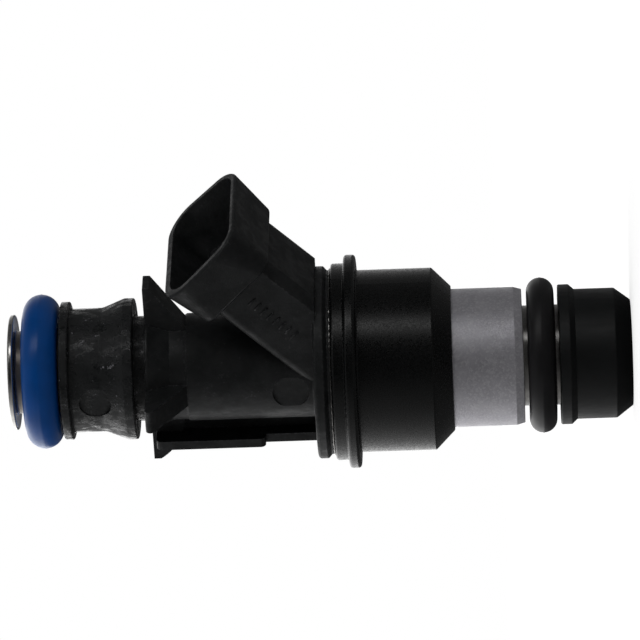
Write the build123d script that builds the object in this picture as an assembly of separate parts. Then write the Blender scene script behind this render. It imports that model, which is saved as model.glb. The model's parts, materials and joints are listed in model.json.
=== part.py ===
"""Top-feed port fuel injector, built as an assembly of separate pieces.

Units are millimetres. +Z runs along the injector's axis from the spray tip to the fuel inlet,
and the origin is the centre of the tip's end face. The connector leans towards +X and +Z.
"""

from build123d import *
import os
from math import sqrt

# ---------------------------------------------------------------- driving dimensions
# Heights along the axis
CAP_CHAMFER_Z = 1.56
CAP_CYLINDER_Z = 5.38
CAP_CONE_Z = 5.90
CAP_TOP_Z = 6.96
CAP_FLARE_Z = 0.70
CAP_SEAT_Z = 1.20
LOWER_RING_Z = 8.64
SLEEVE_BASE_Z = 10.40
SLEEVE_TOP_Z = 17.17
CAN_FLOOR_Z = 18.20
CAN_CHAMFER_Z = 18.99
FLANGE_BASE_Z = 26.25
FLANGE_TOP_Z = 27.38
CAN_TOP_Z = 28.63
BODY_BASE_Z = 30.34
BODY_STEP_Z = 42.60
FIN_FACE_Z = 46.50
GROOVE_TOP_Z = 47.65
SPOOL_LIP_Z = 48.59
SPOOL_NECK_Z = 50.75
SPOOL_TOP_Z = 54.70
UPPER_RING_Z = 56.62
INLET_TOP_Z = 59.69

# Radii
CAP_END_R = 5.08
CAP_R = 6.25
CAP_LIP_R = 6.73
CAP_SPRAY_R = 2.60
NECK_R = 4.82
NOSE_R = 4.20
NOSE_BORE_R = 3.40
SLEEVE_R = 6.64
CAN_R = 8.76
CAN_END_R = 6.94
CAN_BORE_R = 7.80
FLANGE_R = 10.26
CAN_RIM_R = 9.46
CAN_RIM_BORE_R = 8.00
BODY_FLANGE_R = 9.25
BODY_R = 5.18
BODY_UPPER_R = 5.05
GROOVE_COLLAR_R = 5.80
SPOOL_LIP_R = 6.80
SPOOL_NECK_R = 5.96
SPOOL_RIM_R = 6.65
TUBE_R = 3.97
TUBE_BORE_R = 3.30
INLET_FLANGE_R = 5.55

# Inside of the valve body, from the nose up
NOSE_BORE_TOP_Z = 5.40
CHAMBER_R = 2.60
CHAMBER_BASE_Z = 6.20
CHAMBER_TOP_Z = 11.60
BODY_BORE_BASE_Z = 12.40

# Small steps and edges
SLEEVE_LEAD = 0.22
SLEEVE_LEAD_HEIGHT = 0.80
INLET_FLANGE = 0.52
RELIEF = 0.40
RELIEF_TOP = 0.75
COLLAR_HEIGHT = 0.25
COLLAR_SLOPE = 2.05
SPOOL_RIM = 0.87
EMBED = 0.30
ROOT_DEPTH = 0.24

# O-rings
UPPER_RING_SECTION_R = 1.74
LOWER_RING_SECTION_R = 1.33

# Fins around the clip groove
FIN_R = 9.80
SIDE_FIN_R = 9.50
FIN_THICKNESS = 2.35
FIN_LAND = 0.68
FIN_FOOT_Z = 42.60
ROUND_FIN_FOOT_Z = 43.30
ROUND_FIN_MIDDLE = (-8.70, 44.60)

# Clip rail on the side away from the connector
RAIL_FACE_X = -7.60
RAIL_THICKNESS = 0.95
RAIL_WIDTH = 6.00
RAIL_NARROW_WIDTH = 4.30
RAIL_STEP_Z = 35.50
RAIL_TOP_Z = 46.06
RAIL_WEB = 1.50
RAIL_CORNER_R = 0.50
RAIL_WEB_DROP = 1.50

# Ejector marks: radius, radius of the surface they are in, and height
EJECTOR_MARKS = (
    (1.55, SPOOL_NECK_R, 51.40),
    (1.75, BODY_R, 32.70),
)
EJECTOR_DEPTH = 0.25

# Electrical connector, on a line 45 degrees from the axis. Outlines are drawn in the mouth's
# plane, where x runs away from the inlet and y across the connector.
MOUTH_X = 14.90
MOUTH_Z = 40.90
MOUTH_OUTER = 5.22
MOUTH_INNER = -4.60
MOUTH_OUTER_HALF = 6.95
MOUTH_INNER_HALF = 7.70
MOUTH_CORNER_R = 3.10
MOUTH_EDGE_R = 0.28
SHROUD_LENGTH = 5.20
SHROUD_BACK_OUTER = 4.55
SHROUD_BACK_INNER = -4.25
SHROUD_BACK_OUTER_HALF = 5.50
SHROUD_BACK_INNER_HALF = 5.85
SHROUD_BACK_CORNER_R = 1.30
SHROUD_BACK_EDGE_R = 0.45
SHROUD_WALL = 0.85
OUTER_WALL = 0.60
STEM_OUTER = 3.95
STEM_INNER = -3.05
STEM_SHOULDER = 3.35
STEM_FLAT_HALF = 3.28
STEM_OUTER_HALF = 4.80
STEM_INNER_HALF = 5.15
STEM_CORNER_R = 1.00
STEM_LENGTH = 17.00
SOCKET_BACK_WALL = 0.65
SOCKET_DEPTH = 4.30
POCKET_DEPTH = 10.10
POCKET_WALL = 0.90
BLADE_TIP_DEPTH = 4.10
BLADE_THICKNESS = 0.64
BLADE_WIDTH = 1.60
BLADE_SPACING = 4.40
BLADE_DROP_X = 6.10
BLADE_FOOT_Z = 26.70
BLADE_BEND_R = 1.20
TOWER_WALL = 0.35
TOWER_HALF_DEPTH = 0.80
TOWER_FOOT = 0.50
TOWER_CLEARANCE = 0.05

# Magnetic circuit and coil
POLE_FACE_Z = 20.00
POLE_R = 4.25
POLE_BORE_R = 1.75
POLE_TOP_Z = 31.00
SHELL_TOP_Z = 21.60
FLUX_PLATE_BASE_Z = 26.30
FLUX_PLATE_TOP_Z = 27.50
BOBBIN_BORE_R = 4.32
BOBBIN_HUB_R = 4.95
BOBBIN_FLANGE_R = 7.60
BOBBIN_FLANGE = 0.70
BOBBIN_END_GAP = 0.05
WIRE_LAYER_R = 7.20
WIRE_PITCH = 0.50
WIRE_GAP = 0.005

# Moving valve group: the lift is the air gap less a thin residual gap at the pole face
AIR_GAP = 0.10
GUIDE_CLEARANCE = 0.06
BODY_BORE_R = 3.56
ARMATURE_BASE_Z = 13.60
ARMATURE_TOP_Z = POLE_FACE_Z - AIR_GAP
SPRING_SEAT_Z = 17.60
SPRING_POCKET_R = 1.62
VALVE_TUBE_R = 1.50
VALVE_TUBE_BORE_R = 1.00
VALVE_TUBE_TOP_Z = 15.60
OUTLET_R = 0.50
OUTLET_Z = 8.60
BALL_R = 1.75
BALL_Z = 4.55
BALL_CUP = 0.90
BALL_CLEARANCE = 0.03
SEAT_CLEARANCE = 0.02
SEAT_BASE_Z = 1.90
SEAT_TOP_Z = 4.05
GUIDE_TOP_Z = 5.10
GUIDE_SLOTS = 6
GUIDE_SLOT_X = 2.30
GUIDE_SLOT_LENGTH = 1.20
GUIDE_SLOT_WIDTH = 0.80
PLATE_THICKNESS = 0.15
ORIFICE_R = 0.70
SPRAY_HOLES = 4
SPRAY_HOLE_R = 0.13
SPRAY_CIRCLE_R = 0.42

# Return spring and adjusting tube
SPRING_R = 1.30
SPRING_WIRE_R = 0.20
SPRING_TURNS = 8
SPRING_END_GAP = 0.02
ADJUSTER_BASE_Z = 25.50
ADJUSTER_TOP_Z = 30.60
ADJUSTER_BORE_R = 1.10
ADJUSTER_SLIT = 0.40

# Inlet filter
FILTER_RING_BASE_Z = 56.30
FILTER_RING_TOP_Z = 58.60
FILTER_RING_BORE_R = 2.50
FILTER_BORE_R = 2.05
FILTER_BASE_Z = 45.60
FILTER_HOOPS = 4
FILTER_RIBS = 4
FILTER_BAR = 0.40
FILTER_RIB = 0.60
FILTER_FOOT = 0.80
FILTER_COLLAR = 0.25
SCREEN_R = 1.60
SCREEN_WALL = 0.08

DIAGONAL = sqrt(0.5)
MOUTH = Plane(
    origin=(MOUTH_X, 0, MOUTH_Z),
    x_dir=(DIAGONAL, 0, -DIAGONAL),
    z_dir=(DIAGONAL, 0, DIAGONAL),
)


# ---------------------------------------------------------------- helpers
def turned(corners):
    """Solid turned about Z from (radius, height) or (radius, height, rounding) corners."""
    outline = make_face(Polyline(*[corner[:2] for corner in corners], close=True))
    for corner in corners:
        if len(corner) == 3:
            nearest = outline.vertices().sort_by_distance((corner[0], corner[1], 0))[0]
            outline = fillet(nearest, corner[2])
    return revolve(Plane.XZ * outline, Axis.Z)


def pipe(outer_r, inner_r, base_z, top_z):
    """Plain round tube about Z."""
    return turned([(inner_r, base_z), (outer_r, base_z), (outer_r, top_z), (inner_r, top_z)])


def rod(radius, base_z, top_z):
    """Plain round bar about Z."""
    upright = (Align.CENTER, Align.CENTER, Align.MIN)
    return Pos(0, 0, base_z) * Cylinder(radius, top_z - base_z, align=upright)


def block(x_range, y_range, z_range):
    """Box between two values on each axis."""
    sizes = [high - low for low, high in (x_range, y_range, z_range)]
    middle = [(high + low) / 2 for low, high in (x_range, y_range, z_range)]
    return Pos(*middle) * Box(*sizes)


def around(shape, count, start=0.0):
    """Copies of a shape spaced evenly about Z."""
    return [Rot(0, 0, start + 360 * index / count) * shape for index in range(count)]


def o_ring(section_r, inner_r, z):
    """Torus that sits on a neck of the given radius."""
    return Pos(0, 0, z) * Torus(inner_r + section_r, section_r)


# ---------------------------------------------------------------- tip
def tip_cap():
    """Plastic cap clipped over the nose, with a flared spray opening."""
    return turned([
        (CAP_SPRAY_R + CAP_FLARE_Z, 0),
        (CAP_END_R, 0, 0.15),
        (CAP_R, CAP_CHAMFER_Z, 0.30),
        (CAP_R, CAP_CYLINDER_Z),
        (CAP_LIP_R, CAP_CONE_Z, 0.20),
        (CAP_LIP_R, CAP_TOP_Z, 0.15),
        (NOSE_R, CAP_TOP_Z),
        (NOSE_R, CAP_SEAT_Z),
        (CAP_SPRAY_R, CAP_SEAT_Z),
        (CAP_SPRAY_R, CAP_FLARE_Z),
    ])


def valve_body():
    """Slim steel body: nose for the seat, neck for the lower O-ring, bore for the armature."""
    return turned([
        (NOSE_BORE_R, CAP_SEAT_Z),
        (NOSE_R, CAP_SEAT_Z),
        (NOSE_R, CAP_TOP_Z),
        (NECK_R, CAP_TOP_Z),
        (NECK_R, CAN_FLOOR_Z),
        (BODY_BORE_R, CAN_FLOOR_Z),
        (BODY_BORE_R, BODY_BORE_BASE_Z),
        (CHAMBER_R, CHAMBER_TOP_Z),
        (CHAMBER_R, CHAMBER_BASE_Z),
        (NOSE_BORE_R, NOSE_BORE_TOP_Z),
    ])


def lower_sleeve():
    """Grey sleeve between the lower O-ring and the coil housing."""
    return turned([
        (NECK_R, SLEEVE_BASE_Z),
        (SLEEVE_R - SLEEVE_LEAD, SLEEVE_BASE_Z, 0.10),
        (SLEEVE_R, SLEEVE_BASE_Z + SLEEVE_LEAD_HEIGHT, 0.30),
        (SLEEVE_R, SLEEVE_TOP_Z),
        (NECK_R, SLEEVE_TOP_Z),
    ])


def valve_seat():
    """Disc with a 45 degree conical seat and the orifice below it."""
    contact_r = BALL_R * DIAGONAL
    contact_z = BALL_Z - contact_r - SEAT_CLEARANCE
    return turned([
        (ORIFICE_R, SEAT_BASE_Z),
        (NOSE_BORE_R, SEAT_BASE_Z),
        (NOSE_BORE_R, SEAT_TOP_Z),
        (contact_r + SEAT_TOP_Z - contact_z, SEAT_TOP_Z),
        (ORIFICE_R, contact_z - contact_r + ORIFICE_R),
    ])


def ball_guide():
    """Disc that centres the ball, with fuel slots round its bore."""
    disc = pipe(NOSE_BORE_R, BALL_R + BALL_CLEARANCE, SEAT_TOP_Z, GUIDE_TOP_Z)
    slot = Pos(GUIDE_SLOT_X, 0, GUIDE_TOP_Z) * Box(GUIDE_SLOT_LENGTH, GUIDE_SLOT_WIDTH, 4)
    return disc - around(slot, GUIDE_SLOTS)


def director_plate():
    """Thin plate under the seat with the ring of spray holes."""
    plate = rod(NOSE_BORE_R, SEAT_BASE_Z - PLATE_THICKNESS, SEAT_BASE_Z)
    hole = Pos(SPRAY_CIRCLE_R, 0, SEAT_BASE_Z) * Cylinder(SPRAY_HOLE_R, 1)
    return plate - around(hole, SPRAY_HOLES, start=45)


# ---------------------------------------------------------------- moving valve group
def valve_ball():
    """Closing ball."""
    return Pos(0, 0, BALL_Z) * Sphere(BALL_R)


def valve_tube():
    """Tube from the armature to the ball, cupped on the ball, with fuel outlet holes."""
    tube = pipe(VALVE_TUBE_R, VALVE_TUBE_BORE_R, BALL_Z + BALL_CUP, VALVE_TUBE_TOP_Z)
    outlet = Pos(0, 0, OUTLET_Z) * Rot(0, 90, 0) * Cylinder(OUTLET_R, 4)
    return tube - valve_ball() - outlet - Rot(0, 0, 90) * outlet


def armature():
    """Magnetic plunger with a spring pocket above and the valve tube pressed in below."""
    armature_r = BODY_BORE_R - GUIDE_CLEARANCE
    return turned([
        (VALVE_TUBE_R, ARMATURE_BASE_Z),
        (armature_r, ARMATURE_BASE_Z, 0.25),
        (armature_r, ARMATURE_TOP_Z, 0.12),
        (SPRING_POCKET_R, ARMATURE_TOP_Z),
        (SPRING_POCKET_R, SPRING_SEAT_Z),
        (VALVE_TUBE_BORE_R, SPRING_SEAT_Z),
        (VALVE_TUBE_BORE_R, VALVE_TUBE_TOP_Z),
        (VALVE_TUBE_R, VALVE_TUBE_TOP_Z),
    ])


def return_spring():
    """Compression spring between the armature and the adjusting tube."""
    base_z = SPRING_SEAT_Z + SPRING_WIRE_R + SPRING_END_GAP
    height = ADJUSTER_BASE_Z - SPRING_WIRE_R - SPRING_END_GAP - base_z
    path = Pos(0, 0, base_z) * Helix(height / SPRING_TURNS, height, SPRING_R)
    section = Plane(path @ 0, z_dir=path % 0) * Circle(SPRING_WIRE_R)
    return sweep(section, path)


# ---------------------------------------------------------------- fuel tube and magnetic circuit
def nonmagnetic_shell():
    """Welded ring that keeps the flux out of the gap between body and pole."""
    return pipe(POLE_R, BODY_BORE_R, CAN_FLOOR_Z, SHELL_TOP_Z)


def pole_piece():
    """Fixed core above the armature, spigoted into the shell and the inlet tube."""
    return turned([
        (POLE_BORE_R, POLE_FACE_Z),
        (BODY_BORE_R, POLE_FACE_Z, 0.12),
        (BODY_BORE_R, SHELL_TOP_Z),
        (POLE_R, SHELL_TOP_Z),
        (POLE_R, FLUX_PLATE_TOP_Z),
        (TUBE_BORE_R, FLUX_PLATE_TOP_Z),
        (TUBE_BORE_R, POLE_TOP_Z, 0.30),
        (POLE_BORE_R, POLE_TOP_Z),
    ])


def adjusting_tube():
    """Split tube pressed into the pole; its depth sets the spring load."""
    tube = pipe(POLE_BORE_R, ADJUSTER_BORE_R, ADJUSTER_BASE_Z, ADJUSTER_TOP_Z)
    half = ADJUSTER_SLIT / 2
    slit = block((half, 2 * POLE_BORE_R), (-half, half), (ADJUSTER_BASE_Z - 1, ADJUSTER_TOP_Z + 1))
    return tube - slit


def inlet_tube():
    """Stainless fuel tube with a flared inlet flange that traps the O-ring."""
    return turned([
        (TUBE_BORE_R, FLUX_PLATE_TOP_Z),
        (TUBE_R, FLUX_PLATE_TOP_Z),
        (TUBE_R, INLET_TOP_Z - INLET_FLANGE, 0.25),
        (INLET_FLANGE_R, INLET_TOP_Z - INLET_FLANGE, 0.15),
        (INLET_FLANGE_R, INLET_TOP_Z, 0.20),
        (TUBE_BORE_R, INLET_TOP_Z, 0.60),
    ])


def coil_housing():
    """Turned steel can: chamfered end, outer flange and the rim that holds the plastic body."""
    return turned([
        (NECK_R, SLEEVE_TOP_Z),
        (CAN_END_R, SLEEVE_TOP_Z, 0.12),
        (CAN_R, CAN_CHAMFER_Z, 0.20),
        (CAN_R, FLANGE_BASE_Z, 0.15),
        (FLANGE_R, FLANGE_BASE_Z, 0.32),
        (FLANGE_R, FLANGE_TOP_Z, 0.32),
        (CAN_RIM_R, FLANGE_TOP_Z, 0.12),
        (CAN_RIM_R, CAN_TOP_Z, 0.22),
        (CAN_RIM_BORE_R, CAN_TOP_Z),
        (CAN_RIM_BORE_R, FLUX_PLATE_BASE_Z),
        (CAN_BORE_R, FLUX_PLATE_BASE_Z),
        (CAN_BORE_R, CAN_FLOOR_Z),
        (NECK_R, CAN_FLOOR_Z),
    ])


def tower(clearance):
    """Bobbin post that carries both terminals up through the flux plate."""
    reach = BLADE_SPACING / 2 + BLADE_WIDTH / 2 + TOWER_WALL + clearance
    depth = TOWER_HALF_DEPTH + clearance
    return block(
        (BLADE_DROP_X - depth, BLADE_DROP_X + depth),
        (-reach, reach),
        (FLUX_PLATE_BASE_Z - TOWER_FOOT, FLUX_PLATE_TOP_Z),
    )


def flux_plate():
    """Steel washer that closes the magnetic circuit above the coil."""
    return pipe(CAN_RIM_BORE_R, POLE_R, FLUX_PLATE_BASE_Z, FLUX_PLATE_TOP_Z) - tower(TOWER_CLEARANCE)


def coil_bobbin():
    """Plastic spool with two flanges and the terminal tower."""
    base_z = CAN_FLOOR_Z + BOBBIN_END_GAP
    top_z = FLUX_PLATE_BASE_Z - BOBBIN_END_GAP
    spool = turned([
        (BOBBIN_BORE_R, base_z),
        (BOBBIN_FLANGE_R, base_z),
        (BOBBIN_FLANGE_R, base_z + BOBBIN_FLANGE),
        (BOBBIN_HUB_R, base_z + BOBBIN_FLANGE),
        (BOBBIN_HUB_R, top_z - BOBBIN_FLANGE),
        (BOBBIN_FLANGE_R, top_z - BOBBIN_FLANGE),
        (BOBBIN_FLANGE_R, top_z),
        (BOBBIN_BORE_R, top_z),
    ])
    return spool + tower(0) - terminal(1) - terminal(-1)


def coil_winding():
    """Copper winding whose outer layer shows each turn of wire."""
    base_z = CAN_FLOOR_Z + BOBBIN_END_GAP + BOBBIN_FLANGE
    top_z = FLUX_PLATE_BASE_Z - BOBBIN_END_GAP - BOBBIN_FLANGE
    turns = int((top_z - base_z) / WIRE_PITCH)
    wire_r = (top_z - base_z) / turns / 2
    layers = pipe(WIRE_LAYER_R - wire_r, BOBBIN_HUB_R, base_z, top_z)
    outer = [
        Pos(0, 0, base_z + wire_r * (2 * turn + 1)) * Torus(WIRE_LAYER_R - wire_r, wire_r - WIRE_GAP)
        for turn in range(turns)
    ]
    return layers + outer


def terminal(side):
    """Blade terminal: along the connector's line, then down into the bobbin tower."""
    y = side * BLADE_SPACING / 2
    tip = MOUTH.from_local_coords((0, y, -BLADE_TIP_DEPTH))
    bend_z = MOUTH_Z - (MOUTH_X - BLADE_DROP_X)
    path = FilletPolyline(
        tip,
        (BLADE_DROP_X, y, bend_z),
        (BLADE_DROP_X, y, BLADE_FOOT_Z),
        radius=BLADE_BEND_R,
    )
    section = Plane(tip, x_dir=(0, 1, 0), z_dir=path % 0) * Rectangle(BLADE_WIDTH, BLADE_THICKNESS)
    return sweep(section, path)


# ---------------------------------------------------------------- inlet filter
def filter_ring():
    """Brass ring pressed into the top of the inlet tube."""
    return turned([
        (FILTER_RING_BORE_R, FILTER_RING_BASE_Z),
        (TUBE_BORE_R, FILTER_RING_BASE_Z, 0.25),
        (TUBE_BORE_R, FILTER_RING_TOP_Z, 0.25),
        (FILTER_RING_BORE_R, FILTER_RING_TOP_Z, 0.20),
    ])


def filter_basket():
    """Plastic cage: collar, ribs, hoops and a closed foot."""
    cage = pipe(FILTER_RING_BORE_R, FILTER_BORE_R, FILTER_RING_BASE_Z, FILTER_RING_TOP_Z - FILTER_BAR)
    collar_base_z = FILTER_RING_BASE_Z - FILTER_FOOT
    cage += pipe(FILTER_BORE_R + FILTER_COLLAR, SCREEN_R, collar_base_z, FILTER_RING_BASE_Z)
    cage += rod(FILTER_BORE_R, FILTER_BASE_Z, FILTER_BASE_Z + FILTER_FOOT)
    half = FILTER_RIB / 2
    rib = block((SCREEN_R, FILTER_BORE_R), (-half, half), (FILTER_BASE_Z, FILTER_RING_BASE_Z))
    cage += around(rib, FILTER_RIBS)
    span = FILTER_RING_BASE_Z - FILTER_BASE_Z
    for index in range(1, FILTER_HOOPS):
        hoop_z = FILTER_BASE_Z + span * index / FILTER_HOOPS
        cage += pipe(FILTER_BORE_R, SCREEN_R, hoop_z - FILTER_BAR / 2, hoop_z + FILTER_BAR / 2)
    return cage


def filter_screen():
    """Fine mesh sock, drawn as a thin closed tube inside the cage."""
    return pipe(SCREEN_R, SCREEN_R - SCREEN_WALL, FILTER_BASE_Z + FILTER_FOOT, FILTER_RING_BASE_Z)


# ---------------------------------------------------------------- moulded plastic body
def moulded_core():
    """Turned shape of the moulding: spigot, end flange, barrel, clip groove and spool."""
    return turned([
        (TUBE_R, FLUX_PLATE_TOP_Z),
        (CAN_RIM_BORE_R, FLUX_PLATE_TOP_Z),
        (CAN_RIM_BORE_R, CAN_TOP_Z),
        (BODY_FLANGE_R - RELIEF, CAN_TOP_Z),
        (BODY_FLANGE_R - RELIEF, CAN_TOP_Z + RELIEF),
        (BODY_FLANGE_R, CAN_TOP_Z + RELIEF_TOP, 0.15),
        (BODY_FLANGE_R, BODY_BASE_Z, 0.30),
        (BODY_R, BODY_BASE_Z, 0.30),
        (BODY_R, BODY_STEP_Z, 0.10),
        (BODY_UPPER_R, BODY_STEP_Z + 0.18),
        (BODY_UPPER_R, FIN_FACE_Z - COLLAR_HEIGHT - COLLAR_SLOPE),
        (GROOVE_COLLAR_R, FIN_FACE_Z - COLLAR_HEIGHT, 0.20),
        (GROOVE_COLLAR_R, FIN_FACE_Z, 0.10),
        (BODY_UPPER_R, FIN_FACE_Z),
        (BODY_UPPER_R, GROOVE_TOP_Z),
        (SPOOL_LIP_R, GROOVE_TOP_Z, 0.15),
        (SPOOL_LIP_R, SPOOL_LIP_Z, 0.40),
        (SPOOL_NECK_R, SPOOL_NECK_Z, 0.60),
        (SPOOL_NECK_R, SPOOL_TOP_Z - SPOOL_RIM, 0.25),
        (SPOOL_RIM_R, SPOOL_TOP_Z - SPOOL_RIM, 0.15),
        (SPOOL_RIM_R, SPOOL_TOP_Z, 0.15),
        (TUBE_R, SPOOL_TOP_Z),
    ])


def straight_fin(reach, corner_r):
    """Fin on +X: short land at the clip groove, then a straight slope down to the barrel."""
    outline = make_face(Polyline(
        (TUBE_R + EMBED, FIN_FACE_Z),
        (reach, FIN_FACE_Z),
        (reach, FIN_FACE_Z - FIN_LAND),
        (BODY_UPPER_R, FIN_FOOT_Z),
        (TUBE_R + EMBED, FIN_FOOT_Z),
        close=True,
    ))
    corners = outline.vertices().sort_by(Axis.X)[-2:]
    outline = fillet(corners, corner_r)
    return extrude(Plane.XZ * outline, FIN_THICKNESS / 2, both=True)


def round_fin():
    """Fin on -X, with a convex back that meets the clip rail."""
    root_x = -TUBE_R - EMBED
    land_z = FIN_FACE_Z - FIN_LAND
    outline = make_face([
        Line((root_x, FIN_FACE_Z), (-FIN_R, FIN_FACE_Z)),
        Line((-FIN_R, FIN_FACE_Z), (-FIN_R, land_z)),
        ThreePointArc((-FIN_R, land_z), ROUND_FIN_MIDDLE, (-BODY_UPPER_R, ROUND_FIN_FOOT_Z)),
        Line((-BODY_UPPER_R, ROUND_FIN_FOOT_Z), (root_x, ROUND_FIN_FOOT_Z)),
        Line((root_x, ROUND_FIN_FOOT_Z), (root_x, FIN_FACE_Z)),
    ])
    return extrude(Plane.XZ * outline, FIN_THICKNESS / 2, both=True)


def clip_fins():
    """The four fins that stop the retaining clip."""
    side_fin = straight_fin(SIDE_FIN_R, 0.45)
    return [
        straight_fin(FIN_R, 0.12),
        Rot(0, 0, 90) * side_fin,
        Rot(0, 0, -90) * side_fin,
        round_fin(),
    ]


def clip_rail():
    """T-section rail: a wide plate that narrows towards the end flange, on a thin web."""
    inner_x = RAIL_FACE_X + RAIL_THICKNESS
    wide = block((RAIL_FACE_X, inner_x), (-RAIL_WIDTH / 2, RAIL_WIDTH / 2), (RAIL_STEP_Z, RAIL_TOP_Z))
    wide = fillet(wide.edges().filter_by(Axis.X), RAIL_CORNER_R)
    half = RAIL_NARROW_WIDTH / 2
    root_z = BODY_BASE_Z - ROOT_DEPTH
    narrow = block((RAIL_FACE_X, inner_x), (-half, half), (root_z, RAIL_STEP_Z + 1))
    web = block(
        (inner_x - EMBED, -TUBE_R - EMBED),
        (-RAIL_WEB / 2, RAIL_WEB / 2),
        (root_z, FIN_FACE_Z - RAIL_WEB_DROP),
    )
    return [wide, narrow, web]


def bowed_outline(outer, inner, outer_half, inner_half, corner_r):
    """Four-sided outline with large round corners, in the mouth's plane."""
    outline = make_face(Polyline(
        (outer, -outer_half),
        (outer, outer_half),
        (inner, inner_half),
        (inner, -inner_half),
        close=True,
    ))
    return fillet(outline.vertices(), corner_r)


def mouth_outline(wall=0.0, outer_wall=0.0):
    """Outline of the shroud at the mouth, drawn in by the given walls."""
    return bowed_outline(
        MOUTH_OUTER - outer_wall,
        MOUTH_INNER + wall,
        MOUTH_OUTER_HALF - wall,
        MOUTH_INNER_HALF - wall,
        MOUTH_CORNER_R - wall,
    )


def back_outline(wall=0.0):
    """Outline of the shroud where it meets the stem, drawn in by the given wall."""
    return bowed_outline(
        SHROUD_BACK_OUTER - wall,
        SHROUD_BACK_INNER + wall,
        SHROUD_BACK_OUTER_HALF - wall,
        SHROUD_BACK_INNER_HALF - wall,
        SHROUD_BACK_CORNER_R,
    )


def stem_outline(inset):
    """Section of the stem behind the shroud, drawn in by the given wall."""
    shoulder = STEM_SHOULDER - inset / 2
    outer = STEM_OUTER - inset
    inner = STEM_INNER + inset
    flat = STEM_FLAT_HALF - inset / 2
    outer_half = STEM_OUTER_HALF - inset
    inner_half = STEM_INNER_HALF - inset
    outline = make_face(Polyline(
        (outer, -flat),
        (outer, flat),
        (shoulder, outer_half),
        (inner, inner_half),
        (inner, -inner_half),
        (shoulder, -outer_half),
        close=True,
    ))
    return fillet(outline.vertices().sort_by(Axis.X)[:2], STEM_CORNER_R)


def connector_shell():
    """Shroud and stem, before the socket is cut."""
    back_plane = MOUTH.offset(-SHROUD_LENGTH)
    shroud = loft([MOUTH * mouth_outline(), back_plane * back_outline()], ruled=True)
    ends = shroud.faces().sort_by(Axis((0, 0, 0), MOUTH.z_dir))
    shroud = fillet(ends[0].edges(), SHROUD_BACK_EDGE_R)
    ends = shroud.faces().sort_by(Axis((0, 0, 0), MOUTH.z_dir))
    shroud = fillet(ends[-1].edges(), MOUTH_EDGE_R)
    stem = extrude(MOUTH.offset(1 - SHROUD_LENGTH) * stem_outline(0), -STEM_LENGTH - 1)
    above = block((-30, 30), (-30, 30), (BODY_BASE_Z - ROOT_DEPTH, 80))
    return [shroud, stem & above]


def connector_socket():
    """Hollow of the connector: wide at the mouth, narrow round the terminals."""
    floor_plane = MOUTH.offset(-SOCKET_DEPTH)
    mouth = MOUTH * mouth_outline(SHROUD_WALL, OUTER_WALL)
    wide = loft([mouth, floor_plane * back_outline(SOCKET_BACK_WALL)], ruled=True)
    pocket = extrude(MOUTH * stem_outline(POCKET_WALL), -POCKET_DEPTH)
    return [wide, pocket]


def ejector_mark(radius, surface_r, z):
    """Flat disc that an ejector pin leaves on each side of the barrel."""
    return [
        Pos(0, side * (surface_r - EJECTOR_DEPTH + 2), z) * Rot(90, 0, 0) * Cylinder(radius, 4)
        for side in (1, -1)
    ]


def overmold_body():
    """Glass-filled plastic moulding that carries the connector and the clip features."""
    body = moulded_core() + clip_fins() + clip_rail() + connector_shell()
    body -= rod(TUBE_R, FLUX_PLATE_TOP_Z - 1, SPOOL_TOP_Z + 1)
    body -= connector_socket()
    for mark in EJECTOR_MARKS:
        body -= ejector_mark(*mark)
    return body - terminal(1) - terminal(-1)


# ---------------------------------------------------------------- assembly
PIECES = {
    "tip_cap": tip_cap,
    "lower_o_ring": lambda: o_ring(LOWER_RING_SECTION_R, NECK_R, LOWER_RING_Z),
    "valve_body": valve_body,
    "lower_sleeve": lower_sleeve,
    "valve_seat": valve_seat,
    "ball_guide": ball_guide,
    "director_plate": director_plate,
    "valve_ball": valve_ball,
    "valve_tube": valve_tube,
    "armature": armature,
    "return_spring": return_spring,
    "nonmagnetic_shell": nonmagnetic_shell,
    "pole_piece": pole_piece,
    "adjusting_tube": adjusting_tube,
    "inlet_tube": inlet_tube,
    "coil_housing": coil_housing,
    "flux_plate": flux_plate,
    "coil_bobbin": coil_bobbin,
    "coil_winding": coil_winding,
    "terminal_left": lambda: terminal(1),
    "terminal_right": lambda: terminal(-1),
    "filter_ring": filter_ring,
    "filter_basket": filter_basket,
    "filter_screen": filter_screen,
    "overmold_body": overmold_body,
    "upper_o_ring": lambda: o_ring(UPPER_RING_SECTION_R, TUBE_R, UPPER_RING_Z),
}

os.makedirs("parts", exist_ok=True)
for node, make in PIECES.items():
    export_step(make(), f"parts/{node}.step")
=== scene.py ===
"""Looks of the fuel injector: materials, detailed pieces, floor, light and camera.

Lengths are metres and the axis is +Z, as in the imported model. Small sizes are written as a
number times MM.
"""

import json
import math

import bmesh
import bpy
from mathutils import Matrix, Vector, noise


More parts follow.
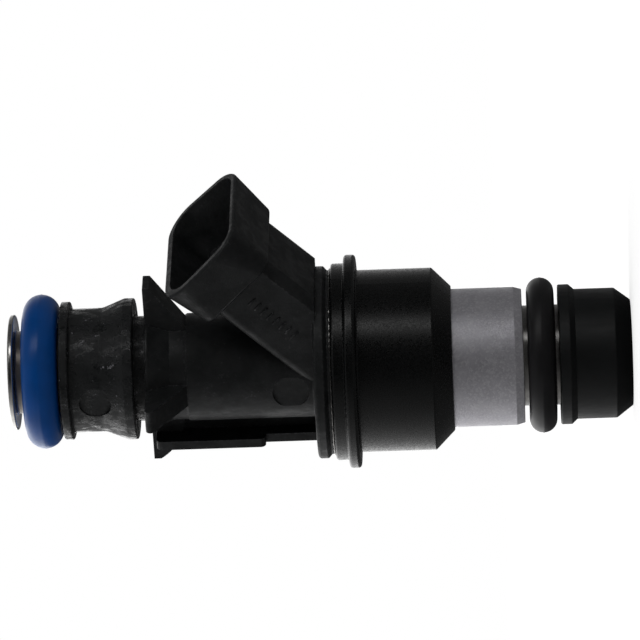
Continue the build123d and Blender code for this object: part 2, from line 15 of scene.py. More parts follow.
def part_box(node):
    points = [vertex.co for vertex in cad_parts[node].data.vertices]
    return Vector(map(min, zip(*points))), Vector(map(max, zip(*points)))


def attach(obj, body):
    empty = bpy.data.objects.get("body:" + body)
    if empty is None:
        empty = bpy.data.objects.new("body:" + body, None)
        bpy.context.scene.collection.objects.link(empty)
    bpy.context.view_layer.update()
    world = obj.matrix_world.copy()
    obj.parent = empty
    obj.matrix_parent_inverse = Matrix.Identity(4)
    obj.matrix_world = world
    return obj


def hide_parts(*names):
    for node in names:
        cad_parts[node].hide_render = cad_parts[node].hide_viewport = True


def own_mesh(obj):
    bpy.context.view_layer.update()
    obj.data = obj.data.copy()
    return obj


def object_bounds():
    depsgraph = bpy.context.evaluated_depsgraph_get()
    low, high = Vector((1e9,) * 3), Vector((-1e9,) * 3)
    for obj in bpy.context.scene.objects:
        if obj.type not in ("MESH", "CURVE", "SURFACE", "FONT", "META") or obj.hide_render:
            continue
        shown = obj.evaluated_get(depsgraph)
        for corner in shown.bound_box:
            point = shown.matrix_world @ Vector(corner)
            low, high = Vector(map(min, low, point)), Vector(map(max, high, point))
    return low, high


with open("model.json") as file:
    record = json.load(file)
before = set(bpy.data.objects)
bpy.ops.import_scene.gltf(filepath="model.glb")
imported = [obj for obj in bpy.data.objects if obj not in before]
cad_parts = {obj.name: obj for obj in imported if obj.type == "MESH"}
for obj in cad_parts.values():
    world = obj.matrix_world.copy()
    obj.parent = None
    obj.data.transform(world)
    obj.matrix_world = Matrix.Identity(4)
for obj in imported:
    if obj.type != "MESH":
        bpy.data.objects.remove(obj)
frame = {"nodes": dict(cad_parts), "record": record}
CAD_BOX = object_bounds()

MM = 0.001

# Sine and cosine of 45 degrees, the tilt of the connector
DIAGONAL = math.sqrt(0.5)

# Camera: its turn from a square side view towards the connector, its place and its target
CAMERA_AZIMUTH = math.radians(33.5)
CAMERA_DISTANCE = 513.8 * MM
CAMERA_HEIGHT = 12.72 * MM
TARGET_SIDE = 4.073 * MM
TARGET_HEIGHT = 29.83 * MM
CAMERA_ROLL = math.radians(1.924)
CAMERA_LENS = 300.4
CAMERA_SENSOR = 36
CAMERA_CLIP = (0.01, 100)

TOWARDS_CAMERA = Vector((math.sin(CAMERA_AZIMUTH), -math.cos(CAMERA_AZIMUTH), 0))
PICTURE_UP = Vector((math.cos(CAMERA_AZIMUTH), math.sin(CAMERA_AZIMUTH), 0))
AXIS = Vector((0, 0, 1))

# Height where the moulding's clip groove ends and its spool starts
SPOOL_Z = 46.5 * MM

# Length of the bright steel at the inlet's end, above the straw-brown part
BRIGHT_INLET = 0.62 * MM

# Height of the flash line that the mould leaves on each O-ring
UPPER_RING_FLASH = 0.030 * MM
LOWER_RING_FLASH = 0.025 * MM

# Middle of the can's rolled edge: radius and height
CRIMP_R = 8.90 * MM
CRIMP_Z = 28.74 * MM

# Brightness of the studio round the axis: (degrees from the camera towards picture up, level)
STUDIO_LEVELS = (
    (-180, 1.00),
    (-150, 0.86),
    (-130, 0.67),
    (-110, 0.50),
    (-90, 0.31),
    (-70, 0.18),
    (-56, 0.13),
    (-30, 0.04),
    (-16, 0.00),
    (18, 0.00),
    (34, 0.05),
    (40, 0.95),
    (44, 1.00),
    (48, 0.95),
    (56, 0.06),
    (66, 0.01),
    (90, 0.02),
    (112, 0.03),
    (132, 0.09),
    (152, 0.22),
    (168, 0.55),
    (180, 1.00),
)
STUDIO_STRENGTH = 2.0

# Levels seen past the two ends, and the cosines from the axis between which they take over
STUDIO_END_LEVELS = {"inlet": 0.08, "tip": 0.20}
STUDIO_END_BLEND = (0.55, 0.90)

# Floor: its glow for the camera, its grey for other rays, its half size in metres, and the gap
# between it and the model
FLOOR_GLOW = 0.70
FLOOR_REFLECTED = 0.25
FLOOR_REACH = 40.0
FLOOR_GAP = 0.01 * MM


# ---------------------------------------------------------------- shader helpers
def principled(name):
    """New material with its node tree and its Principled shader."""
    material = bpy.data.materials.new(name)
    material.use_nodes = True
    tree = material.node_tree
    return material, tree, tree.nodes["Principled BSDF"]


def add(tree, kind, **settings):
    """New node of a kind, with attributes set."""
    node = tree.nodes.new("ShaderNode" + kind)
    for key, value in settings.items():
        setattr(node, key, value)
    return node


def object_position(tree, stretch=(1, 1, 1)):
    """Position in the piece's own space. A larger stretch makes features shorter on that axis."""
    position = add(tree, "TexCoord")
    mapping = add(tree, "Mapping")
    mapping.inputs["Scale"].default_value = stretch
    tree.links.new(position.outputs["Object"], mapping.inputs["Vector"])
    return mapping.outputs["Vector"]


def grain(tree, size, detail=3.0, roughness=0.55, stretch=(1, 1, 1)):
    """Noise from 0 to 1 whose features are about the given size."""
    texture = add(tree, "TexNoise")
    texture.inputs["Scale"].default_value = 1 / size
    texture.inputs["Detail"].default_value = detail
    texture.inputs["Roughness"].default_value = roughness
    tree.links.new(object_position(tree, stretch), texture.inputs["Vector"])
    return texture.outputs["Fac"]


def cells(tree, size):
    """Random grey per cell, for crystals and fibres of about the given size."""
    texture = add(tree, "TexVoronoi")
    texture.inputs["Scale"].default_value = 1 / size
    tree.links.new(object_position(tree), texture.inputs["Vector"])
    split = add(tree, "SeparateColor")
    tree.links.new(texture.outputs["Color"], split.inputs["Color"])
    return split.outputs["Red"]


def spread(tree, value, low, high, start=0.0, end=1.0):
    """Maps value from start..end to low..high, smoothly and held at both ends."""
    node = add(tree, "MapRange", interpolation_type="SMOOTHSTEP")
    for socket, number in zip(("From Min", "From Max", "To Min", "To Max"), (start, end, low, high)):
        node.inputs[socket].default_value = number
    tree.links.new(value, node.inputs["Value"])
    return node.outputs["Result"]


def math_node(tree, operation, a, b):
    """Arithmetic on two values, each a socket or a number."""
    node = add(tree, "Math", operation=operation)
    for socket, value in zip(node.inputs, (a, b)):
        if isinstance(value, (int, float)):
            socket.default_value = value
        else:
            tree.links.new(value, socket)
    return node.outputs[0]


def mixed(tree, factor, first, second):
    """Colour between two colours, each a socket or three numbers."""
    node = add(tree, "Mix", data_type="RGBA")
    # Inputs 6 and 7 and output 2 are the node's colour sockets
    tree.links.new(factor, node.inputs["Factor"])
    for socket, value in zip((node.inputs[6], node.inputs[7]), (first, second)):
        if isinstance(value, tuple):
            socket.default_value = (*value, 1)
        else:
            tree.links.new(value, socket)
    return node.outputs[2]


def clouded(tree, value, dark, light, margin=0.3):
    """Colour that drifts from dark to light with a noise, held beyond margin at both ends."""
    return mixed(tree, spread(tree, value, 0, 1, margin, 1 - margin), dark, light)


def relief(tree, shader, layers):
    """Stacks bump layers of (height socket, depth) onto the shader's normal."""
    normal = None
    for height, depth in layers:
        node = add(tree, "Bump")
        node.inputs["Strength"].default_value = 1.0
        node.inputs["Distance"].default_value = depth
        tree.links.new(height, node.inputs["Height"])
        if normal:
            tree.links.new(normal, node.inputs["Normal"])
        normal = node.outputs["Normal"]
    tree.links.new(normal, shader.inputs["Normal"])


def edge_mask(tree, radius, reach):
    """1 along sharp edges of the mesh and 0 on its faces. A smaller reach widens the edges."""
    rounded = add(tree, "Bevel", samples=4)
    rounded.inputs["Radius"].default_value = radius
    geometry = add(tree, "NewGeometry")
    dot = add(tree, "VectorMath", operation="DOT_PRODUCT")
    tree.links.new(rounded.outputs["Normal"], dot.inputs[0])
    tree.links.new(geometry.outputs["Normal"], dot.inputs[1])
    return spread(tree, dot.outputs["Value"], 1, 0, 1 - reach, 1)


def height_above(tree, z, blur):
    """0 below height z on the axis and 1 above it, blended over blur to both sides."""
    position = add(tree, "TexCoord")
    split = add(tree, "SeparateXYZ")
    tree.links.new(position.outputs["Object"], split.inputs["Vector"])
    return spread(tree, split.outputs["Z"], 0, 1, z - blur, z + blur)


def camera_sees(tree, seen, otherwise):
    """Shader that camera rays see as seen, and all other rays as otherwise."""
    path = add(tree, "LightPath")
    either = add(tree, "MixShader")
    tree.links.new(path.outputs["Is Camera Ray"], either.inputs["Fac"])
    tree.links.new(otherwise, either.inputs[1])
    tree.links.new(seen, either.inputs[2])
    return either.outputs[0]


# ---------------------------------------------------------------- materials
def body_plastic():
    """Charcoal glass-filled moulding: blotchy gloss, a glassy grain, pale specks in its glossy patches as
    painted glints, and pale edges as a painted edge highlight.
    """
    material, tree, shader = principled("body_plastic")
    mottle = grain(tree, 2.4 * MM, 5, 0.6)
    patches = grain(tree, 1.1 * MM, 5, 0.68, (1, 1, 0.7))
    inlet_end = spread(tree, height_above(tree, SPOOL_Z, 0.8 * MM), 0.30, 1)
    glossy = math_node(tree, "MULTIPLY", spread(tree, patches, 0, 1, 0.45, 0.58), inlet_end)
    fibres = cells(tree, 0.17 * MM)
    fine = grain(tree, 0.17 * MM, 3, 0.75)
    lumps = grain(tree, 1.9 * MM, 3, 0.5, (1, 1, 0.6))
    base = clouded(tree, mottle, (0.0130, 0.0150, 0.0158), (0.0300, 0.0320, 0.0335), 0.35)
    # Pale specks on the fibre cells, only in the glossy patches near the inlet end: painted glints of the
    # highlight's sparkle
    glint_patches = math_node(tree, "MULTIPLY", spread(tree, patches, 0, 1, 0.54, 0.60), inlet_end)
    glass = spread(tree, fibres, 0, 0.55, 0.80, 1.0)
    painted_glints = math_node(tree, "MULTIPLY", glass, math_node(tree, "POWER", glint_patches, 2))
    base = mixed(tree, painted_glints, base, (0.60, 0.59, 0.64))
    # Pale, speckled colour on the sharp edges: a painted edge highlight
    edge_speckle = spread(tree, grain(tree, 0.30 * MM, 4, 0.8), 0, 0.75, 0.50, 0.66)
    painted_edge_highlight = math_node(tree, "MULTIPLY", edge_mask(tree, 0.34 * MM, 0.10), edge_speckle)
    base = mixed(tree, painted_edge_highlight, base, (0.20, 0.20, 0.21))
    tree.links.new(base, shader.inputs["Base Color"])
    shader.inputs["Specular IOR Level"].default_value = 0.48
    rough = math_node(tree, "SUBTRACT", 0.58, math_node(tree, "MULTIPLY", glossy, 0.40))
    tree.links.new(rough, shader.inputs["Roughness"])
    glitter = math_node(tree, "MULTIPLY", fine, spread(tree, glossy, 0.45, 1))
    relief(tree, shader, ((lumps, 0.085 * MM), (glitter, 0.032 * MM)))
    return material


def cap_plastic():
    """Smooth satin black cap with a few pale handling marks."""
    material, tree, shader = principled("cap_plastic")
    cloud = grain(tree, 3.0 * MM, 3)
    scuffs = grain(tree, 0.5 * MM, 4, 0.7, (1, 1, 0.25))
    fine = grain(tree, 0.15 * MM, 2)
    base = clouded(tree, cloud, (0.0085, 0.0100, 0.0108), (0.0135, 0.0150, 0.0160))
    scuffed = spread(tree, scuffs, 0, 0.6, 0.60, 0.72)
    marks = math_node(tree, "MULTIPLY", edge_mask(tree, 0.22 * MM, 0.12), scuffed)
    base = mixed(tree, marks, base, (0.22, 0.22, 0.23))
    tree.links.new(base, shader.inputs["Base Color"])
    shader.inputs["Specular IOR Level"].default_value = 0.45
    tree.links.new(spread(tree, scuffs, 0.44, 0.54, 0.35, 0.65), shader.inputs["Roughness"])
    relief(tree, shader, ((cloud, 0.014 * MM), (fine, 0.0030 * MM)))
    return material


def coated_steel():
    """Black electro-coated steel with a fine orange peel that sparkles in the light."""
    material, tree, shader = principled("coated_steel")
    peel = grain(tree, 0.18 * MM, 2, 0.6)
    sparkle = cells(tree, 0.16 * MM)
    cloud = grain(tree, 2.2 * MM, 3)
    base = clouded(tree, cloud, (0.0010, 0.0016, 0.0018), (0.0032, 0.0038, 0.0042), 0.35)
    rubbed = spread(tree, peel, 0, 0.5, 0.56, 0.70)
    wear = math_node(tree, "MULTIPLY", edge_mask(tree, 0.24 * MM, 0.10), rubbed)
    base = mixed(tree, wear, base, (0.20, 0.20, 0.21))
    tree.links.new(base, shader.inputs["Base Color"])
    tree.links.new(spread(tree, sparkle, 0.25, 0.37), shader.inputs["Roughness"])
    relief(tree, shader, ((cloud, 0.009 * MM), (peel, 0.0045 * MM)))
    return material


def grey_sleeve():
    """Grey metallic finish with a bright crystalline grain."""
    material, tree, shader = principled("grey_sleeve")
    crystals = cells(tree, 0.18 * MM)
    fine = grain(tree, 0.18 * MM, 3, 0.75)
    stain = grain(tree, 2.0 * MM, 4)
    base = clouded(tree, stain, (0.68, 0.665, 0.72), (0.80, 0.785, 0.84))
    base = mixed(tree, spread(tree, crystals, 0, 0.6, 0.45, 1.0), base, (0.96, 0.95, 0.99))
    tree.links.new(base, shader.inputs["Base Color"])
    shader.inputs["Metallic"].default_value = 0.52
    tree.links.new(spread(tree, crystals, 0.32, 0.50), shader.inputs["Roughness"])
    relief(tree, shader, ((fine, 0.036 * MM),))
    return material


def rubber(name, dark, light, roughness, dustiness):
    """Satin moulded rubber with faint clouding and a trace of dust."""
    material, tree, shader = principled(name)
    shader.inputs["Specular IOR Level"].default_value = 0.38
    cloud = grain(tree, 2.5 * MM, 4)
    fine = grain(tree, 0.10 * MM, 2)
    dust = grain(tree, 0.35 * MM, 5, 0.75)
    base = clouded(tree, cloud, dark, light)
    base = mixed(tree, spread(tree, dust, 0, dustiness, 0.60, 0.80), base, (0.30, 0.32, 0.36))
    tree.links.new(base, shader.inputs["Base Color"])
    sheen = spread(tree, cloud, roughness - 0.04, roughness + 0.06, 0.3, 0.7)
    tree.links.new(sheen, shader.inputs["Roughness"])
    relief(tree, shader, ((cloud, 0.012 * MM), (fine, 0.0012 * MM)))
    return material


def blue_rubber():
    """Blue upper O-ring."""
    return rubber("blue_rubber", (0.0020, 0.1350, 0.5900), (0.0050, 0.1550, 0.6700), 0.32, 0.03)


def black_rubber():
    """Black lower O-ring."""
    return rubber("black_rubber", (0.0180, 0.0175, 0.0190), (0.0250, 0.0240, 0.0260), 0.42, 0.04)


def turned_metal(name, dark, light, roughness):
    """Metal with fine marks round the axis, as a lathe leaves them."""
    material, tree, shader = principled(name)
    cloud = grain(tree, 1.6 * MM, 4)
    rings = grain(tree, 0.9 * MM, 3, 0.6, (0.04, 0.04, 9))
    base = clouded(tree, cloud, dark, light)
    tree.links.new(base, shader.inputs["Base Color"])
    shader.inputs["Metallic"].default_value = 1.0
    sheen = spread(tree, rings, roughness - 0.05, roughness + 0.09, 0.3, 0.7)
    tree.links.new(sheen, shader.inputs["Roughness"])
    relief(tree, shader, ((rings, 0.0008 * MM), (cloud, 0.004 * MM)))
    return material


def stainless():
    """Bright stainless steel that goes straw brown below the inlet flange."""
    material, tree, shader = principled("stainless")
    cloud = grain(tree, 1.4 * MM, 4)
    rings = grain(tree, 0.8 * MM, 3, 0.6, (0.05, 0.05, 8))
    polished = height_above(tree, CAD_BOX[1].z - BRIGHT_INLET, 0.06 * MM)
    brown = clouded(tree, cloud, (0.300, 0.265, 0.235), (0.430, 0.385, 0.345))
    bright = clouded(tree, cloud, (0.60, 0.59, 0.57), (0.74, 0.73, 0.71))
    tree.links.new(mixed(tree, polished, brown, bright), shader.inputs["Base Color"])
    tree.links.new(spread(tree, polished, 0.6, 1), shader.inputs["Metallic"])
    sheen = spread(tree, rings, 0.30, 0.42, 0.3, 0.7)
    rough = math_node(tree, "SUBTRACT", sheen, math_node(tree, "MULTIPLY", polished, 0.14))
    tree.links.new(rough, shader.inputs["Roughness"])
    relief(tree, shader, ((rings, 0.0012 * MM), (cloud, 0.006 * MM)))
    return material


def tinned_brass():
    """Tin plate over brass, slightly cloudy."""
    material, tree, shader = principled("tinned_brass")
    cloud = grain(tree, 0.9 * MM, 4)
    fine = grain(tree, 0.12 * MM, 2)
    base = clouded(tree, cloud, (0.56, 0.55, 0.52), (0.70, 0.69, 0.66))
    tree.links.new(base, shader.inputs["Base Color"])
    shader.inputs["Metallic"].default_value = 1.0
    tree.links.new(spread(tree, cloud, 0.24, 0.34, 0.3, 0.7), shader.inputs["Roughness"])
    relief(tree, shader, ((cloud, 0.004 * MM), (fine, 0.0010 * MM)))
    return material


def copper_wire():
    """Enamelled copper winding wire."""
    material, tree, shader = principled("copper_wire")
    cloud = grain(tree, 0.8 * MM, 3)
    base = clouded(tree, cloud, (0.42, 0.125, 0.045), (0.58, 0.205, 0.075))
    tree.links.new(base, shader.inputs["Base Color"])
    shader.inputs["Metallic"].default_value = 0.9
    shader.inputs["Coat Weight"].default_value = 0.6
    shader.inputs["Coat Roughness"].default_value = 0.12
    tree.links.new(spread(tree, cloud, 0.25, 0.38), shader.inputs["Roughness"])
    relief(tree, shader, ((grain(tree, 0.2 * MM, 2), 0.004 * MM),))
    return material


def nylon(name, dark, light):
    """Unfilled nylon, slightly see-through."""
    material, tree, shader = principled(name)
    cloud = grain(tree, 1.5 * MM, 4)
    base = clouded(tree, cloud, dark, light)
    tree.links.new(base, shader.inputs["Base Color"])
    shader.inputs["Subsurface Weight"].default_value = 0.15
    shader.inputs["Subsurface Radius"].default_value = (0.4 * MM, 0.3 * MM, 0.2 * MM)
    tree.links.new(spread(tree, cloud, 0.34, 0.46), shader.inputs["Roughness"])
    relief(tree, shader, ((cloud, 0.010 * MM), (grain(tree, 0.15 * MM, 2), 0.002 * MM)))
    return material


MATERIALS = {
    "body_plastic": body_plastic,
    "cap_plastic": cap_plastic,
    "coated_steel": coated_steel,
    "grey_sleeve": grey_sleeve,
    "blue_rubber": blue_rubber,
    "black_rubber": black_rubber,
    "stainless": stainless,
    # Its grey is kept darker than bare steel: painted shade for the neck, which sits in shadow beside the
    # lower O-ring
    "neck_steel": lambda: turned_metal("neck_steel", (0.20, 0.195, 0.19), (0.34, 0.33, 0.32), 0.18),
    "magnet_steel": lambda: turned_metal("magnet_steel", (0.34, 0.34, 0.35), (0.48, 0.48, 0.49), 0.32),
    "seat_steel": lambda: turned_metal("seat_steel", (0.52, 0.52, 0.53), (0.64, 0.64, 0.65), 0.16),
    "ball_steel": lambda: turned_metal("ball_steel", (0.66, 0.66, 0.67), (0.76, 0.76, 0.77), 0.08),
    "spring_steel": lambda: turned_metal("spring_steel", (0.30, 0.29, 0.28), (0.42, 0.41, 0.39), 0.28),
    "tinned_brass": tinned_brass,
    "brass": lambda: turned_metal("brass", (0.56, 0.38, 0.14), (0.72, 0.52, 0.22), 0.24),
    "copper_wire": copper_wire,
    "bobbin_nylon": lambda: nylon("bobbin_nylon", (0.020, 0.021, 0.023), (0.034, 0.035, 0.037)),
    "filter_nylon": lambda: nylon("filter_nylon", (0.50, 0.47, 0.40), (0.62, 0.59, 0.50)),
    "filter_mesh": lambda: turned_metal("filter_mesh", (0.50, 0.50, 0.50), (0.66, 0.66, 0.65), 0.30),
}


def paint_nodes(made):
    """Gives every CAD node the material of its slot in the record."""
    slots = {part["node"]: part["material_slot"] for part in frame["record"]["subparts"]}
    for name, node in frame["nodes"].items():
        node.data.materials.clear()
        node.data.materials.append(made[slots[name]])


# ---------------------------------------------------------------- mesh helpers
def mesh_piece(name, vertices, faces, material, body):
    """New smooth mesh with a material, riding on a body."""
    mesh = bpy.data.meshes.new(name)
    mesh.from_pydata(vertices, [], faces)
    mesh.materials.append(material)
    for polygon in mesh.polygons:
        polygon.use_smooth = True
    piece = bpy.data.objects.new(name, mesh)
    bpy.context.scene.collection.objects.link(piece)
    tidy = bmesh.new()
    tidy.from_mesh(mesh)
    bmesh.ops.recalc_face_normals(tidy, faces=tidy.faces)
    tidy.to_mesh(mesh)
    tidy.free()
    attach(piece, body)
    return piece


def grid_faces(rows, columns):
    """Quads of a grid that closes on itself both ways."""
    faces = []
    for i in range(rows):
        for j in range(columns):
            a = i * columns + j
            b = i * columns + (j + 1) % columns
            c = (i + 1) % rows * columns + (j + 1) % columns
            d = (i + 1) % rows * columns + j
            faces.append((a, b, c, d))
    return faces


def tube_along(points, radius, sides=12):
    """Closed mesh of a round wire along points, with capped ends."""
    vertices = []
    side = Vector((1, 0, 0))
    for index, point in enumerate(points):
        ahead = points[min(index + 1, len(points) - 1)] - points[max(index - 1, 0)]
        ahead.normalize()
        side = (side - ahead * side.dot(ahead)).normalized()
        other = ahead.cross(side)
        for k in range(sides):
            angle = 2 * math.pi * k / sides
            vertices.append(point + (side * math.cos(angle) + other * math.sin(angle)) * radius)
    faces = []
    for i in range(len(points) - 1):
        for k in range(sides):
            after = (k + 1) % sides
            faces.append((i * sides + k, i * sides + after, (i + 1) * sides + after, (i + 1) * sides + k))
    last = (len(points) - 1) * sides
    faces.append(tuple(reversed(range(sides))))
    faces.append(tuple(last + k for k in range(sides)))
    return vertices, faces


# ---------------------------------------------------------------- detailed pieces
def moulded_ring(node, name, material, flash):
    """O-ring with the thin flash line that its mould leaves round the outside and inside."""
    low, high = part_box(node)
    section = (high.z - low.z) / 2
    ring_r = high.x - section - flash
    middle = (high.z + low.z) / 2
    around, across = 288, 72
    flash_half = 0.055 * MM
    lump_depth = 0.010 * MM
    vertices = []
    for i in range(around):
        turn = 2 * math.pi * i / around
        for j in range(across):
            angle = 2 * math.pi * j / across
            off_line = section * math.sin(angle) / flash_half
            ridge = flash * math.exp(-off_line * off_line)
            radius = ring_r + math.cos(angle) * (section + ridge)
            lumps = lump_depth * noise.noise(Vector((math.cos(turn) * 2, math.sin(turn) * 2, angle)))
            radius += lumps * math.cos(angle)
            vertices.append(Vector((
                radius * math.cos(turn),
                radius * math.sin(turn),
                middle + section * math.sin(angle),
            )))
    piece = mesh_piece(name, vertices, grid_faces(around, across), material, "injector")
    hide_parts(node)
    return piece


def coil_spring(material):
    """Return spring with closed, ground ends."""
    low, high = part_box("return_spring")
    wire_r = 0.20 * MM
    spring_r = high.x - wire_r
    bottom, top = low.z + wire_r, high.z - wire_r
    turns, closed_turns, steps = 9.5, 1.25, 40
    end_share = closed_turns / turns
    count = int(turns * steps)
    end_rise = 2.1 * wire_r
    points = []
    for index in range(count + 1):
        share = index / count
        if share < end_share:
            height = end_rise * share / end_share
        elif share > 1 - end_share:
            height = top - bottom - end_rise * (1 - share) / end_share
        else:
            middle = (share - end_share) / (1 - 2 * end_share)
            height = end_rise + (top - bottom - 2 * end_rise) * middle
        angle = 2 * math.pi * turns * share
        points.append(Vector((spring_r * math.cos(angle), spring_r * math.sin(angle), bottom + height)))
    vertices, faces = tube_along(points, wire_r)
    piece = mesh_piece("return_spring_coil", vertices, faces, material, "injector")
    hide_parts("return_spring")
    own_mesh(piece)
    return piece


def woven_screen(material):
    """Filter sock as a net of round wires that pass over and under each other."""
    low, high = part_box("filter_screen")
    wire_r = 0.014 * MM
    wire_sides = 6
    inset = 0.04 * MM
    radius = high.x - inset
    columns, rows = 44, 90
    wave = 0.012 * MM
    vertices, faces = [], []

    def crossing(i, j, swing):
        """Point of a wire where upright i meets ring j, moved out and in by turns."""
        turn = 2 * math.pi * i / columns
        reach = radius + swing * (-1) ** (i + j)
        z = low.z + (high.z - low.z) * (j + 0.5) / rows
        return Vector((reach * math.cos(turn), reach * math.sin(turn), z))

    def lay(points):
        """Adds one wire to the net."""
        start = len(vertices)
        new_vertices, new_faces = tube_along(points, wire_r, wire_sides)
        vertices.extend(new_vertices)
        faces.extend(tuple(start + v for v in face) for face in new_faces)

    for i in range(columns):
        lay([crossing(i, j, wave) for j in range(rows)])
    for j in range(rows):
        lay([crossing(i, j, -wave) for i in range(columns + 1)])
    piece = mesh_piece("filter_weave", vertices, faces, material, "injector")
    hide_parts("filter_screen")
    return piece


def crimp_edge(material):
    """Bare, uneven edge where the can's rim is rolled against the moulding."""
    around, across = 360, 10
    # In mm: the edge's mean half thickness, and what fine and broad unevenness add to it
    mean_half, ragged_half, broad_half = 0.075, 0.065, 0.02
    # In mm: how far broad unevenness moves the edge out, and fine unevenness moves it up
    broad_shift, ragged_shift = 0.05, 0.03
    vertices = []
    for i in range(around):
        turn = 2 * math.pi * i / around
        ragged = noise.noise(Vector((math.cos(turn), math.sin(turn), 0)) * 22)
        broad = noise.noise(Vector((math.cos(turn), math.sin(turn), 1)) * 6)
        section = (mean_half + ragged_half * ragged + broad_half * broad) * MM
        for j in range(across):
            angle = 2 * math.pi * j / across
            radius = CRIMP_R + section * math.cos(angle) + broad_shift * broad * MM
            vertices.append(Vector((
                radius * math.cos(turn),
                radius * math.sin(turn),
                CRIMP_Z + section * math.sin(angle) + ragged_shift * ragged * MM,
            )))
    faces = grid_faces(around, across)
    return mesh_piece("crimp_edge", vertices, faces, material, "injector")


def mould_marks(material):
    """Row of plain raised bars on the flat side of the connector's stem."""
    # Middle of the connector's mouth, and the two directions of the stem's flat side
    mouth = Vector((14.90, 0, 40.90)) * MM
    across = Vector((DIAGONAL, 0, -DIAGONAL))
    down_stem = Vector((-DIAGONAL, 0, -DIAGONAL))
    # Slope of the side's draft, and the direction that the bars stand up in
    lean = 0.055
    outward = Vector((lean * DIAGONAL, -1, -lean * DIAGONAL)).normalized()
    # In mm: the row's shift across the stem, its side's distance from the middle plane, and
    # the first bar's distance from the mouth
    row_shift, side_y, first_bar = 0.30, 4.967, 6.75
    row_start = mouth + (across * row_shift - Vector((0, side_y, 0))) * MM + down_stem * first_bar * MM
    bars, pitch = 8, 0.78 * MM
    half_length, half_width = 0.52 * MM, 0.13 * MM
    # From the root to the top: height over the side, and share of the full width
    layers = ((-0.06 * MM, 1.0), (0.05 * MM, 0.92), (0.085 * MM, 0.60))
    corner_steps = 6
    vertices, faces = [], []
    for bar in range(bars):
        centre = row_start + down_stem * pitch * bar
        start = len(vertices)
        ring = 2 * corner_steps
        for height, share in layers:
            for step in range(ring):
                end = 1 if step < corner_steps else -1
                angle = math.pi * (step - (0 if end > 0 else 1)) / (corner_steps - 1)
                side = math.cos(angle) * half_width * share
                reach = math.sin(angle) * half_width * share + end * (half_length - half_width)
                vertices.append(centre + down_stem * side + across * reach + outward * height)
        for layer in range(len(layers) - 1):
            for step in range(ring):
                after = (step + 1) % ring
                low = start + layer * ring
                faces.append((low + step, low + after, low + ring + after, low + ring + step))
        top = start + (len(layers) - 1) * ring
        faces.append(tuple(top + step for step in range(ring)))
        faces.append(tuple(start + step for step in reversed(range(ring))))
    return mesh_piece("mould_marks", vertices, faces, material, "injector")


def detail_pieces(made):
    """Pieces that replace a plain CAD node, and small details on the others."""
    crimp_edge(made["neck_steel"])
    mould_marks(made["body_plastic"])
    blue, black = made["blue_rubber"], made["black_rubber"]
    moulded_ring("upper_o_ring", "upper_ring_moulded", blue, UPPER_RING_FLASH)
    moulded_ring("lower_o_ring", "lower_ring_moulded", black, LOWER_RING_FLASH)
    coil_spring(made["spring_steel"])
    woven_screen(made["filter_mesh"])


# ---------------------------------------------------------------- studio
def studio_floor():
    """Wide floor under the model, pale to the camera and grey to every other ray."""
    material, tree, shader = principled("floor")
    shader.inputs["Base Color"].default_value = (0.86, 0.86, 0.86, 1)
    shader.inputs["Roughness"].default_value = 0.9
    shader.inputs["Specular IOR Level"].default_value = 0.1
    shader.inputs["Emission Color"].default_value = (1, 1, 1, 1)
    shader.inputs["Emission Strength"].default_value = FLOOR_GLOW
    card = add(tree, "BsdfDiffuse")
    card.inputs["Color"].default_value = (FLOOR_REFLECTED,) * 3 + (1,)
    surface = camera_sees(tree, shader.outputs["BSDF"], card.outputs["BSDF"])
    tree.links.new(surface, tree.nodes["Material Output"].inputs["Surface"])
    reach = FLOOR_REACH
    mesh = bpy.data.meshes.new("floor")
    corners = [(-reach, -reach, 0), (reach, -reach, 0), (reach, reach, 0), (-reach, reach, 0)]
    mesh.from_pydata(corners, [], [(0, 1, 2, 3)])
    mesh.materials.append(material)
    floor = bpy.data.objects.new("floor", mesh)
    floor.location.z = CAD_BOX[0].z - FLOOR_GAP
    bpy.context.scene.collection.objects.link(floor)


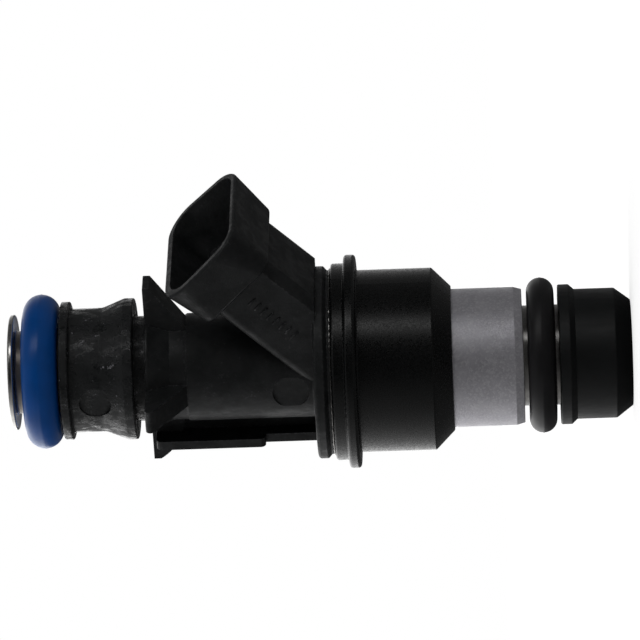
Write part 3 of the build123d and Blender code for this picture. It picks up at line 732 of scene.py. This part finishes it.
def studio_world():
    """White backdrop for the camera, and for other rays lights and dark cards round the axis."""
    world = bpy.data.worlds.new("studio")
    world.use_nodes = True
    tree = world.node_tree
    tree.nodes.clear()
    direction = add(tree, "TexCoord").outputs["Generated"]

    def component(axis):
        """Cosine of the angle between the ray and an axis."""
        dot = add(tree, "VectorMath", operation="DOT_PRODUCT")
        dot.inputs[1].default_value = axis
        tree.links.new(direction, dot.inputs[0])
        return dot.outputs["Value"]

    angle = math_node(tree, "ARCTAN2", component(PICTURE_UP), component(TOWARDS_CAMERA))
    share = math_node(tree, "ADD", math_node(tree, "DIVIDE", angle, 2 * math.pi), 0.5)
    ramp = add(tree, "ValToRGB")
    ramp.color_ramp.interpolation = "LINEAR"
    elements = ramp.color_ramp.elements
    while len(elements) < len(STUDIO_LEVELS):
        elements.new(0.5)
    for element, (degrees, level) in zip(elements, STUDIO_LEVELS):
        element.position = (degrees + 180) / 360
        element.color = (level, level, level, 1)
    tree.links.new(share, ramp.inputs["Fac"])
    level = ramp.outputs["Color"]
    for end, axis in (("inlet", AXIS), ("tip", -AXIS)):
        share_of_end = spread(tree, component(axis), 0, 1, *STUDIO_END_BLEND)
        level = mixed(tree, share_of_end, level, (STUDIO_END_LEVELS[end],) * 3)
    light = add(tree, "Background")
    light.inputs["Strength"].default_value = STUDIO_STRENGTH
    tree.links.new(level, light.inputs["Color"])
    backdrop = add(tree, "Background")
    backdrop.inputs["Color"].default_value = (1, 1, 1, 1)
    output = add(tree, "OutputWorld")
    surface = camera_sees(tree, backdrop.outputs[0], light.outputs[0])
    tree.links.new(surface, output.inputs["Surface"])
    bpy.context.scene.world = world


def camera():
    """Long lens across the axis, turned so that the inlet is on the left of the picture."""
    data = bpy.data.cameras.new("camera")
    data.lens = CAMERA_LENS
    data.sensor_width = CAMERA_SENSOR
    data.clip_start, data.clip_end = CAMERA_CLIP
    place = TOWARDS_CAMERA * CAMERA_DISTANCE + AXIS * CAMERA_HEIGHT
    target = PICTURE_UP * TARGET_SIDE + AXIS * TARGET_HEIGHT
    forward = (target - place).normalized()
    right = (-AXIS + forward * AXIS.dot(forward)).normalized()
    up = right.cross(forward)
    turned_right = right * math.cos(CAMERA_ROLL) - up * math.sin(CAMERA_ROLL)
    turned_up = right * math.sin(CAMERA_ROLL) + up * math.cos(CAMERA_ROLL)
    rotation = Matrix((turned_right, turned_up, -forward)).transposed()
    eye = bpy.data.objects.new("camera", data)
    eye.matrix_world = Matrix.Translation(place) @ rotation.to_4x4()
    bpy.context.scene.collection.objects.link(eye)
    bpy.context.scene.camera = eye


def plain_view():
    """Shows colours as they are, so that white stays white."""
    settings = bpy.context.scene.view_settings
    settings.view_transform = "Standard"
    settings.look = "None"


finishes = {slot: make() for slot, make in MATERIALS.items()}
paint_nodes(finishes)
detail_pieces(finishes)
studio_floor()
studio_world()
camera()
plain_view()
